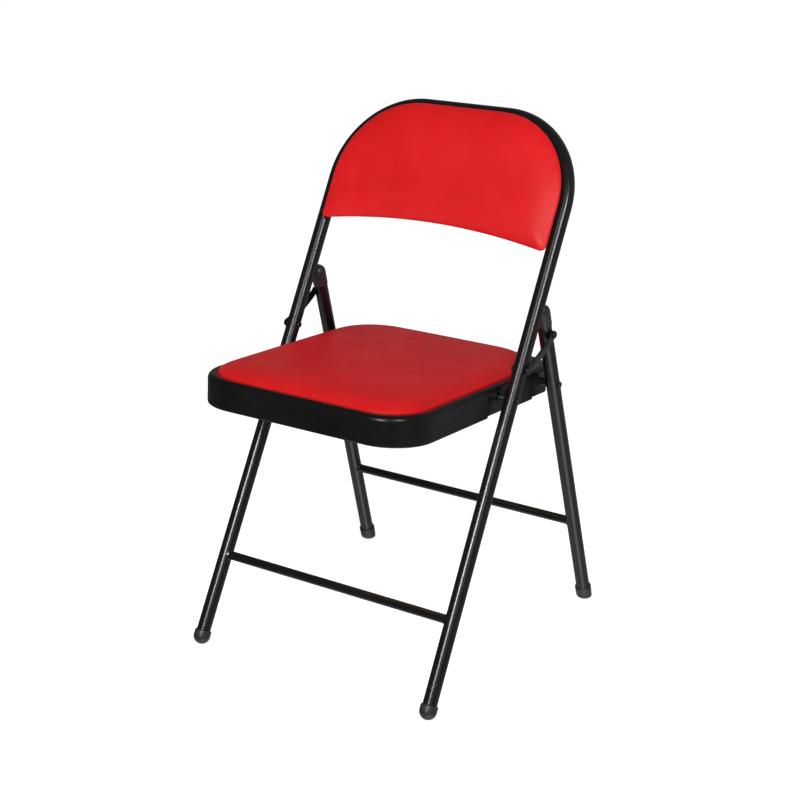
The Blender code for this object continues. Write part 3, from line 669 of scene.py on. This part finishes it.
def foot_cap(node, foot, axis, height, end, rounded):
    """A rubber cap on a tube's end, from the profile of its lower end, cut level with the floor."""
    top = height / axis.z
    profile = end + arc((foot_r - FOOT_EDGE, top - FOOT_EDGE), FOOT_EDGE, 0, 90, FOOT_EDGE_STEPS)
    profile += [(socket_r, top), (socket_r, top - SOCKET_DEPTH), (0, top - SOCKET_DEPTH)]
    obj = new_object(node + "_fine", lathe(profile, foot, axis, TUBE_SIDES))
    build = bmesh.new()
    build.from_mesh(obj.data)
    geom = build.verts[:] + build.edges[:] + build.faces[:]
    bmesh.ops.bisect_plane(build, geom=geom, plane_co=(0, 0, 0), plane_no=(0, 0, -1),
                           clear_outer=True)
    bmesh.ops.contextual_create(build, geom=[e for e in build.edges if e.is_boundary])
    if rounded:
        rim = [e for e in build.edges if all(abs(v.co.z) < SAME_POINT for v in e.verts)]
        bmesh.ops.bevel(build, geom=rim, offset=rounded, segments=FOOT_ROUND_STEPS,
                        affect="EDGES", profile=0.5)
    bmesh.ops.recalc_face_normals(build, faces=build.faces)
    build.to_mesh(obj.data)
    build.free()
    settle(obj, node)


straight_end = [(0, -foot_r), (foot_r - FOOT_TAPER, -foot_r)]
for side, word in SIDES:
    axis = hoop_direction(side)
    middle = (0, (foot_r - FOOT_FRONT_FLAT) / axis.z)
    round_end = arc(middle, foot_r, -90, 0, FOOT_END_STEPS)
    foot = hoop_point(side * HOOP_FOOT_X, 0.0)
    foot_cap("foot_cap_front_" + word, foot, axis, FOOT_FRONT_H, round_end, 0.0)
    axis = leg_direction(side)
    foot = leg_point(side, 0.0)
    foot_cap("foot_cap_rear_" + word, foot, axis, FOOT_REAR_H, straight_end, FOOT_REAR_ROUND)


def head(base, outward, radius):
    """Profile of a low domed head on a pin, from its edge to its middle."""
    points = [(radius - HEAD_FOOT, base), (radius, base + outward * HEAD_FOOT)]
    for c, s in arc((0, 0), 1.0, 0, 90, HEAD_STEPS):
        rise = HEAD_EDGE + (HEAD_H - HEAD_EDGE) * s
        points.append((radius * c, base + outward * rise))
    return points


def rivet(start, stop):
    """A pin with a domed head at its outer end and a smaller one at its inner end."""
    tail = head(start, -1, PIN_R + TAIL_LIP)[::-1]
    return tail + [(PIN_R, start), (PIN_R, stop)] + head(stop, 1, PIN_R + HEAD_LIP)


# Pivot pins, bushes and links on both sides
seat_tube_x = hoop_x(P_SEAT.z / LEAN_C)
leg_end_x = leg_point(1, P_END.z).x
link_in = max(HOOP_X, leg_end_x) + TUBE_R + LINK_CLEAR
link_out = link_in + LINK_T
rail_in = RAIL_X - RIM_T - GAP
end_start = leg_end_x + TUBE_R + GAP
flange_r = PIN_R + FLANGE_LIP
end_pin = [(0, end_start), (flange_r, end_start), (flange_r, link_in - GAP)]
end_pin += [(PIN_R, link_in - GAP), (PIN_R, link_out + GAP)]
end_pin += head(link_out + GAP, 1, PIN_R + HEAD_LIP)
PINS = (
    ("link_rivet_", P_LINK, rivet(HOOP_X - TUBE_R - GAP, link_out + GAP)),
    ("seat_rivet_", P_SEAT, rivet(rail_in, seat_tube_x + TUBE_R + GAP)),
    ("leg_rivet_", P_LEG, rivet(rail_in, LEG_PIVOT_X + TUBE_R + GAP)),
    ("link_end_rivet_", P_END, end_pin),
)
BUSHES = (
    ("seat_bush_", P_SEAT, seat_tube_x - TUBE_R - GAP),
    ("leg_bush_", P_LEG, LEG_PIVOT_X - TUBE_R - GAP),
)
along = P_END - P_LINK
link_len = along.length
along.normalize()
below = Vector((0, along.z, -along.y))


def link_outline(half):
    """The link's outline: round ends about its two pivots, joined by sagging edges."""
    steps = LINK_SIDE_STEPS
    points = arc((link_len, 0), half, -90, 90, LINK_END_STEPS)
    edge = [(link_len * i / steps, 4 * LINK_SAG * i / steps * (1 - i / steps))
            for i in range(steps - 1, 0, -1)]
    points += [(u, sag + half) for u, sag in edge]
    points += arc((0, 0), half, 90, 270, LINK_END_STEPS)
    return points + [(u, sag - half) for u, sag in edge[::-1]]


link_rows = [(link_in + LINK_EDGE * depth, drawn) for depth, drawn in LINK_ROUND]
link_rows += [(link_out - LINK_EDGE * depth, drawn) for depth, drawn in LINK_ROUND[::-1]]
bush_start = RAIL_X + GAP
bush_low = [(PIN_R + GAP, bush_start), (BUSH_R - BUSH_EDGE, bush_start)]
bush_low.append((BUSH_R, bush_start + BUSH_EDGE))
for side, word in SIDES:
    out = Vector((side, 0, 0))
    for name, pivot, profile in PINS:
        fine(name + word, lathe(profile, pivot, out, PIN_SIDES))
    for name, pivot, stop in BUSHES:
        profile = bush_low + [(BUSH_R, stop - BUSH_EDGE), (BUSH_R - BUSH_EDGE, stop)]
        profile.append((PIN_R + GAP, stop))
        fine(name + word, lathe(profile, pivot, out, PIN_SIDES, True))
    rings = []
    for x, drawn in link_rows:
        outline = link_outline(LINK_HALF - LINK_EDGE * drawn)
        flat = [P_LINK + along * u + below * v for u, v in outline]
        rings.append([Vector((side * x, p.y, p.z)) for p in flat])
    fine("fold_link_" + word, loft(rings))


# Seat rim: one section carried round the seat's outline
recess_start = -RECESS_AHEAD
leg_recess_start = LEG_F - LEG_RECESS_AHEAD


def seat_outline(front_r, rear_r, marks):
    """Stations round the seat: x, f and the outward normal, with extra ones along the rails.

    The marks are spread to the rear corner's start, so that outlines with other corners pair up.
    """
    rear_center = SEAT_REAR - rear_r
    spread = rear_center / (SEAT_REAR - SEAT_R_REAR)
    half_loop = [(0.0, SEAT_FRONT, 0.0, -1.0)]
    for radius, center, start in ((front_r, SEAT_FRONT + front_r, -90), (rear_r, rear_center, 0)):
        for c, s in arc((0, 0), 1.0, start, start + 90, CORNER_STEPS):
            half_loop.append((SEAT_HALF - radius + radius * c, center + radius * s, c, s))
        if start < 0:
            half_loop += [(SEAT_HALF, f * spread, 1.0, 0.0) for f in marks]
    half_loop.append((0.0, SEAT_REAR, 0.0, 1.0))
    mirrored = [(-x, f, -nx, nf) for x, f, nx, nf in half_loop[1:-1]]
    return half_loop + mirrored[::-1]


def ease(k):
    """A smooth step from 0 to 1."""
    k = min(max(k, 0.0), 1.0)
    return k * k * (3 - 2 * k)


def recess(x, f):
    """How far the rim's wall is pressed inwards at a station of the side rails."""
    seat_flat = ease((f - recess_start) / RECESS_EDGE) * ease((RECESS_BEHIND - f) / RECESS_EDGE)
    leg_flat = ease((f - leg_recess_start) / RECESS_EDGE)
    return max(0.0, abs(x) - RAIL_X) * max(seat_flat, leg_flat)


recess_top = PIVOT_W + BUSH_R + GAP
wall_top = recess_top + RECESS_BLEND
lip_in = RIM_ROLL + RIM_LIP
pad_in = lip_in + SEAT_PAD_CLEAR
lip_w = wall_top + RIM_ROLL - RIM_LIP_DROP
heel = (-RIM_BEND, RIM_BEND)
roll = (-RIM_ROLL, wall_top)
blend_w = [recess_top + RECESS_BLEND * k / BLEND_STEPS for k in range(BLEND_STEPS)]
section = [(-RIM_FLANGE, 0.0)] + arc(heel, RIM_BEND, 270, 360, HEEL_STEPS)
section += [(0.0, RIM_BEND + CLOSE_BY), (0.0, recess_top - CLOSE_BY)] + [(0.0, w) for w in blend_w]
section += arc(roll, RIM_ROLL, 0, 90, ROLL_STEPS)
section += [(LIP_EDGE - lip_in, lip_w), (-lip_in, lip_w - LIP_EDGE), (-lip_in, lip_w - RIM_T)]
section += arc(roll, RIM_ROLL - RIM_T, 90, 0, ROLL_STEPS)
section += [(-RIM_T, w) for w in blend_w[::-1]]
section += [(-RIM_T, recess_top - CLOSE_BY), (-RIM_T, RIM_BEND + CLOSE_BY)]
section += arc(heel, RIM_BEND - RIM_T, 360, 270, HEEL_STEPS) + [(-RIM_FLANGE, RIM_T)]
press = [RECESS_EDGE * k / PRESS_STEPS for k in range(PRESS_STEPS + 1)]
press = [-CLOSE_BY] + press + [RECESS_EDGE + CLOSE_BY]
marks = [recess_start + d for d in press]
marks += [RECESS_BEHIND - d for d in press[::-1]]
marks += [leg_recess_start + d for d in press]
rim_line = seat_outline(SEAT_R_FRONT, SEAT_R_REAR, marks)
pad_corners = (SEAT_PAD_R_FRONT + pad_in, SEAT_PAD_R_REAR + pad_in)
rings = []
for (x, f, nx, nf), (lip_x, lip_f, _, _) in zip(rim_line, seat_outline(*pad_corners, marks)):
    pressed = math.copysign(recess(x, f), x)
    ring = []
    for u, w in section:
        if w > wall_top and u < -RIM_ROLL - LIP_EDGE:
            ring.append(seat_point(lip_x + nx * u, lip_f + nf * u, w))
            continue
        share = 1.0 - ease((w - recess_top) / RECESS_BLEND)
        ring.append(seat_point(x + nx * u - pressed * share, f + nf * u, w))
    rings.append(ring)
fine("seat_rim", loft(rings, close=True))

# Boards, tabs and screws keep the solids' shapes, with rounded edges
dress("seat_board", BOARD_EDGE)
dress("back_board", BOARD_EDGE)
for side, word in SIDES:
    for node in ("seat_tab_front_", "seat_tab_rear_", "back_tab_lower_", "back_tab_upper_"):
        dress(node + word, TAB_EDGE)
    for node in ("seat_screw_front_", "seat_screw_rear_", "back_screw_lower_", "back_screw_upper_"):
        dress(node + word, SCREW_EDGE)


# Cushions
def even(points, marks, steps, gather):
    """Points spaced along a closed line from mark to mark, gathered towards the marks."""
    count = len(points)
    out = []
    for a, b in zip(marks, marks[1:] + marks[:1]):
        stretch = [points[(a + i) % count] for i in range((b - a) % count + 1)]
        reach = [0.0]
        for p, q in zip(stretch[:-1], stretch[1:]):
            reach.append(reach[-1] + math.hypot(q[0] - p[0], q[1] - p[1]))
        for i in range(steps):
            t = i / steps
            want = (t - gather * math.sin(2 * math.pi * t) / (2 * math.pi)) * reach[-1]
            j = max(k for k in range(len(reach)) if reach[k] <= want + ROUNDING)
            j = min(j, len(reach) - 2)
            share = (want - reach[j]) / max(reach[j + 1] - reach[j], LEAST_STEP)
            out.append(tuple(p + (q - p) * share for p, q in zip(stretch[j], stretch[j + 1])))
    return out


def pad_side(start):
    """A pad's rounded side: distances in from the edge with heights above it."""
    out = []
    for i in range(PAD_SIDE_STEPS + 1):
        inset = start["roll"] * (i / PAD_SIDE_STEPS) ** PAD_SIDE_GATHER
        arch = (1 - (1 - inset / start["roll"]) ** 2) ** start["full"]
        out.append((inset, start["rise"] * arch))
    return out


def bulge(x, y, half_x, half_y):
    """How much of a pad's crown a point of its face has: none at the edges, all in the middle."""
    return max(0.0, 1 - (x / half_x) ** 2) * max(0.0, 1 - (y / half_y) ** 2)


def pad_mesh(rings, edge, place):
    """Skin a cushion: rings up its side, then a grid over its face inside the last ring."""
    steps = PAD_STEPS
    verts, faces = loft(rings)
    faces.pop()
    count = len(rings[0])
    base = len(verts) - count
    index = {}
    for i in range(steps):
        index[(i, 0)] = base + i
        index[(steps, i)] = base + steps + i
        index[(steps - i, steps)] = base + 2 * steps + i
        index[(0, steps - i)] = base + 3 * steps + i
    flat = {key: Vector(edge[value - base]) for key, value in index.items()}
    for i in range(1, steps):
        for j in range(1, steps):
            u = i / steps
            v = j / steps
            p = flat[(i, 0)] * (1 - v) + flat[(i, steps)] * v
            p = p + flat[(0, j)] * (1 - u) + flat[(steps, j)] * u
            p -= (flat[(0, 0)] * (1 - u) + flat[(steps, 0)] * u) * (1 - v)
            p -= (flat[(0, steps)] * (1 - u) + flat[(steps, steps)] * u) * v
            index[(i, j)] = len(verts)
            verts.append(place(p[0], p[1]))
    for i in range(steps):
        for j in range(steps):
            corners = ((i, j), (i + 1, j), (i + 1, j + 1), (i, j + 1))
            faces.append(tuple(index[key] for key in corners))
    return verts, faces


def swell(obj, free_from, limit, out, share):
    """Fill a cushion by cloth pressure.

    Points before free_from are held. The rest move out to a limit, by their share of the crown.
    """
    held = obj.vertex_groups.new(name="held")
    held.add(list(range(free_from)), 1.0, "REPLACE")
    mod = obj.modifiers.new("fill", "CLOTH")
    for key, value in CLOTH.items():
        setattr(mod.settings, key, value)
    mod.settings.effector_weights.gravity = 0.0
    mod.collision_settings.use_collision = False
    scene = bpy.context.scene
    for i in range(1, CLOTH_FRAMES + 1):
        scene.frame_set(i)
    bpy.context.view_layer.update()
    shape = obj.evaluated_get(bpy.context.evaluated_depsgraph_get()).data
    rise = []
    for before, after in zip(obj.data.vertices, shape.vertices):
        rise.append(limit * math.tanh(max((after.co - before.co).dot(out), 0.0) / limit))
    obj.modifiers.remove(mod)
    scene.frame_set(1)
    near = [[] for _ in rise]
    for edge in obj.data.edges:
        a, b = edge.vertices
        near[a].append(b)
        near[b].append(a)
    for _ in range(FILL_EVENING):
        mean = [sum(rise[j] for j in group) / len(group) for group in near]
        rise = [0.0 if i < free_from else (rise[i] + mean[i]) / 2 for i in range(len(rise))]
    for vert, step in zip(obj.data.vertices, rise):
        vert.co += out * (step * ease(share(vert.co) / WHOLE_RISE))
    obj.vertex_groups.clear()


def cushion(node, name, solid, free_from, limit, out, share):
    """A cushion piece: skinned, filled and smoothed."""
    obj = new_object(name, solid)
    swell(obj, free_from, limit, out, share)
    mod = obj.modifiers.new("smooth", "SUBSURF")
    mod.levels = 1
    mod.render_levels = 1
    settle(obj, node, SOFT_SHARP)


# Seat cushion: tucked under the rim's lip, rounder at the rear corners than the rim
pad_line = seat_outline(*pad_corners, [])
half_count = len(pad_line) // 2
front_mid = 1 + CORNER_STEPS // 2
rear_mid = half_count - 1 - CORNER_STEPS // 2
seat_marks = [len(pad_line) - front_mid, front_mid, rear_mid, len(pad_line) - rear_mid]
stations = even(pad_line, seat_marks, PAD_STEPS, SEAT_GATHER)
pad_base = lip_w - RIM_T - SEAT_PAD_UNDER - SEAT_PAD_FLANGE
flange_in = pad_in - SEAT_PAD_TUCK
flange_top = pad_base + SEAT_PAD_FLANGE
pad_edge = flange_top + SEAT_PAD_SIDE
middle_f = (SEAT_FRONT + SEAT_REAR) / 2
face_x = SEAT_HALF - pad_in
face_f = (SEAT_REAR - SEAT_FRONT) / 2 - pad_in
seat_up = seat_point(0, 0, 1) - seat_point(0, 0, 0)


def seat_ring(inset, w):
    """The seat's outline drawn in by an amount at one height."""
    return [seat_point(x - nx * inset, f - nf * inset, w) for x, f, nx, nf in stations]


def seat_face(x, f, up):
    """A point of the seat cushion's face, with its share of the crown."""
    crown = SEAT_START["crown"] * bulge(x, f - middle_f, face_x, face_f)
    return seat_point(x, f, pad_edge + up + crown)


def seat_share(point):
    """A seat cushion point's share of the crown."""
    along_f = (point - P_SEAT).dot(Vector((0, TILT_C, -TILT_S)))
    return bulge(point.x, along_f - middle_f, face_x, face_f)


rings = [seat_ring(flange_in, pad_base), seat_ring(flange_in, flange_top - SEAT_PAD_UNDER)]
rings += [seat_ring(pad_in, flange_top), seat_ring(pad_in, flange_top + SEAT_PAD_SIDE / 2)]
held_points = (len(rings) + HELD_ROWS) * len(stations)
for inset, up in pad_side(SEAT_START):
    drawn = pad_in + inset
    edge = [(x - nx * drawn, f - nf * drawn) for x, f, nx, nf in stations]
    rings.append([seat_face(x, f, up) for x, f in edge])
solid = pad_mesh(rings, edge, lambda x, f: seat_face(x, f, SEAT_START["rise"]))
cushion("seat_cushion", "seat_pad_vinyl", solid, held_points, SEAT_SWELL, seat_up, seat_share)

# Back cushion: wrapped round the board's edge, out to its widest line, then in over the face
back_half = HOOP_X - BACK_SIDE_IN
back_r = HOOP_CORNER_R - BACK_CORNER_IN
back_top = HOOP_TOP_S - BACK_TOP_IN
back_low = HOOP_TOP_S - BACK_HEIGHT
back_corner = back_low - BACK_ARCH
back_mid = (back_top + back_corner) / 2
back_mid_h = (back_top - back_corner) / 2


def back_outline():
    """The back rest's outline, anticlockwise from the lower middle, and its corners' marks."""
    half_loop = []
    edge = back_half - BACK_LOW_R
    for i in range(LOW_EDGE_STEPS + 1):
        k = i / LOW_EDGE_STEPS * LOW_EDGE_SHARE
        half_loop.append((edge * k, back_low - BACK_ARCH * k * k))
    low_mark = len(half_loop) + LOW_CORNER_STEPS // 2
    low_center = (edge, back_corner + BACK_LOW_R)
    half_loop += arc(low_center, BACK_LOW_R, LOW_CORNER_START, 0, LOW_CORNER_STEPS)
    high_mark = len(half_loop) + CORNER_STEPS // 2
    half_loop += arc((back_half - back_r, back_top - back_r), back_r, 0, 90, CORNER_STEPS)
    half_loop.append((0.0, back_top))
    mirrored = [(-x, s) for x, s in half_loop[1:-1]]
    whole = half_loop + mirrored[::-1]
    return whole, [len(whole) - low_mark, low_mark, high_mark, len(whole) - high_mark]


back_line, back_marks = back_outline()
back_stations = even(back_line, back_marks, PAD_STEPS, BACK_GATHER)


def back_flat(inset):
    """The back rest's outline drawn in evenly, in the hoop's plane."""
    fx = 1 - inset / back_half
    fs = 1 - inset / back_mid_h
    return [(x * fx, back_mid + (s - back_mid) * fs) for x, s in back_stations]


def back_ring(inset, n):
    """The drawn-in outline at one depth."""
    return [hoop_point(x, s, n) for x, s in back_flat(inset)]


board_rear = -(TUBE_R + GAP)
board_front = board_rear - BACK_BOARD_T
wrap_rear = board_rear - BACK_PAD_SET
pad_edge = wrap_rear - BACK_PAD_SIDE
rings = [back_ring(BACK_PAD_WRAP, board_front - GAP), back_ring(BACK_PAD_WRAP, wrap_rear)]
for u, d in arc((1.0, 1.0), 1.0, -90, -180, WRAP_STEPS)[:-1]:
    rings.append(back_ring(u * BACK_PAD_EDGE, wrap_rear - d * BACK_PAD_SIDE))
held_points = (len(rings) + HELD_ROWS) * len(back_stations)
back_ahead = hoop_point(0, 0, -1) - hoop_point(0, 0, 0)


def back_face(x, s, out):
    """A point of the back cushion's face, with its share of the crown."""
    crown = BACK_START["crown"] * bulge(x, s - back_mid, back_half, back_mid_h)
    return hoop_point(x, s, pad_edge - out - crown)


def back_share(point):
    """A back cushion point's share of the crown."""
    along_s = (point - hoop_point(0, 0)).dot(Vector((0, LEAN_S, LEAN_C)))
    return bulge(point.x, along_s - back_mid, back_half, back_mid_h)


for inset, out in pad_side(BACK_START):
    rings.append([back_face(x, s, out) for x, s in back_flat(inset)])
edge = back_flat(BACK_START["roll"])
solid = pad_mesh(rings, edge, lambda x, s: back_face(x, s, BACK_START["rise"]))
cushion("back_cushion", "back_pad_vinyl", solid, held_points, BACK_SWELL, back_ahead, back_share)

# Floor, light and camera
AZIMUTH = math.radians(33.4128)
ELEVATION = math.radians(19.5240)
TARGET = Vector((0.0, 0.0058, 0.39))
DISTANCE = 2.602
LENS = 75.445
SENSOR = 36.0
SHIFT = (0.00526, -0.00842)
FLOOR_HALF = 20
LIGHT_AIM = Vector((0, 0, 0.45))
# Name, azimuth and elevation in degrees, distance, size, power, and if only gloss sees the light
LIGHTS = (
    ("soft_front", 25, 40, 3.6, (2.6, 2.2), 105, False),
    ("strip_front", 10, 26, 3.0, (0.40, 0.8), 52, True),
    ("panel_high", 5, 42, 3.2, (1.1, 0.8), 4, True),
    ("strip_side", 54, 36, 3.0, (0.36, 0.84), 26, True),
    ("panel_side", 44, 18, 3.0, (0.5, 0.9), 2.2, True),
)
# What the surroundings give off. Gloss sees a pale floor below with a bright patch in front, and
# a dim room that is paler behind. Soft light sees an even sky, and the camera plain white. A span
# is the two ends of a direction's part along an aim, and what the room gives off at each.
WHITE = (1, 1, 1, 1)
SKY = 0.36
FLOOR_SPAN = (-0.85, -0.45, 0.55, 0.05)
BEHIND_AIM = (0.50, 0.866, 0.0)
BEHIND_SPAN = (-0.3, 0.9, 0.02, 0.20)
PATCH_AIM = (0.542, -0.486, -0.686)
PATCH_SPAN = (0.927, 0.99, 0.0, 1.5)


def toward(azimuth, elevation):
    """The direction from the chair to a viewer at these angles."""
    flat = math.cos(elevation)
    return Vector((math.sin(azimuth) * flat, -math.cos(azimuth) * flat, math.sin(elevation)))


camera = add("camera", bpy.data.cameras.new("camera"))
view = toward(AZIMUTH, ELEVATION)
camera.location = TARGET + view * DISTANCE
camera.rotation_euler = view.to_track_quat("Z", "Y").to_euler()
camera.data.lens = LENS
camera.data.sensor_width = SENSOR
camera.data.shift_x, camera.data.shift_y = SHIFT
bpy.context.scene.camera = camera

quarters = ((-1, -1), (1, -1), (1, 1), (-1, 1))
floor_corners = [(FLOOR_HALF * i, FLOOR_HALF * j, 0) for i, j in quarters]
floor = new_object("floor", (floor_corners, [(0, 1, 2, 3)]))
surface = Finish("pale_floor")
pales = ((0.3, (0.80, 0.80, 0.80)), (0.7, (0.83, 0.83, 0.83)))
surface.set(Base_Color=surface.ramp(surface.noise(3.0), *pales))
surface.set(Roughness=0.9, Specular_IOR_Level=0.1, Emission_Color=WHITE, Emission_Strength=0.72)
floor.data.materials.append(surface.mat)
floor.visible_glossy = False


def area_light(name, azimuth, elevation, distance, size, power, glossy):
    """A rectangular light aimed at the middle of the chair."""
    data = bpy.data.lights.new(name, "AREA")
    data.shape = "RECTANGLE"
    data.size, data.size_y = size
    data.energy = power
    lamp = add(name, data)
    ray = toward(math.radians(azimuth), math.radians(elevation))
    lamp.location = LIGHT_AIM + ray * distance
    lamp.rotation_euler = ray.to_track_quat("Z", "Y").to_euler()
    lamp.visible_glossy = glossy
    lamp.visible_diffuse = not glossy
    lamp.visible_camera = False


for row in LIGHTS:
    area_light(*row)

world = bpy.data.worlds.new("studio")
bpy.context.scene.world = world
world.use_nodes = True
tree = world.node_tree
tree.nodes.clear()


def world_node(kind, **fields):
    """A node of the world's tree with fields and, by number, inputs set or linked."""
    node = tree.nodes.new("ShaderNode" + kind)
    for key, value in fields.items():
        if key.startswith("in_"):
            spot = node.inputs[int(key[3:])]
            if isinstance(value, bpy.types.NodeSocket):
                tree.links.new(value, spot)
            else:
                spot.default_value = value
        else:
            setattr(node, key, value)
    return node


def world_span(value, span):
    """What the room gives off by a direction's part along an aim."""
    start, stop, first, last = span
    node = world_node("MapRange", in_0=value, in_1=start, in_2=stop, in_3=first, in_4=last)
    return node.outputs[0]


def world_along(aim):
    """A direction's part along an aim."""
    node = world_node("VectorMath", operation="DOT_PRODUCT", in_0=direction, in_1=aim)
    return node.outputs["Value"]


def world_sum(first, second):
    """The sum of two numbers."""
    return world_node("Math", operation="ADD", in_0=first, in_1=second).outputs[0]


def world_light(strength):
    """White light of some strength."""
    return world_node("Background", in_0=WHITE, in_1=strength).outputs[0]


def world_choice(rays, rest, chosen):
    """One light for the chosen rays, another for the rest."""
    return world_node("MixShader", in_0=rays, in_1=rest, in_2=chosen).outputs[0]


direction = world_node("TexCoord").outputs["Generated"]
height = world_node("SeparateXYZ", in_0=direction).outputs["Z"]
below_chair = world_span(height, FLOOR_SPAN)
patch = world_span(world_along(PATCH_AIM), PATCH_SPAN)
behind = world_span(world_along(BEHIND_AIM), BEHIND_SPAN)
gloss = world_sum(world_sum(below_chair, patch), behind)
rays = world_node("LightPath").outputs
light = world_choice(rays["Is Glossy Ray"], world_light(SKY), world_light(gloss))
shown = world_choice(rays["Is Camera Ray"], light, world_light(1.0))
world_node("OutputWorld", in_0=shown)
bpy.context.scene.view_settings.view_transform = "Standard"
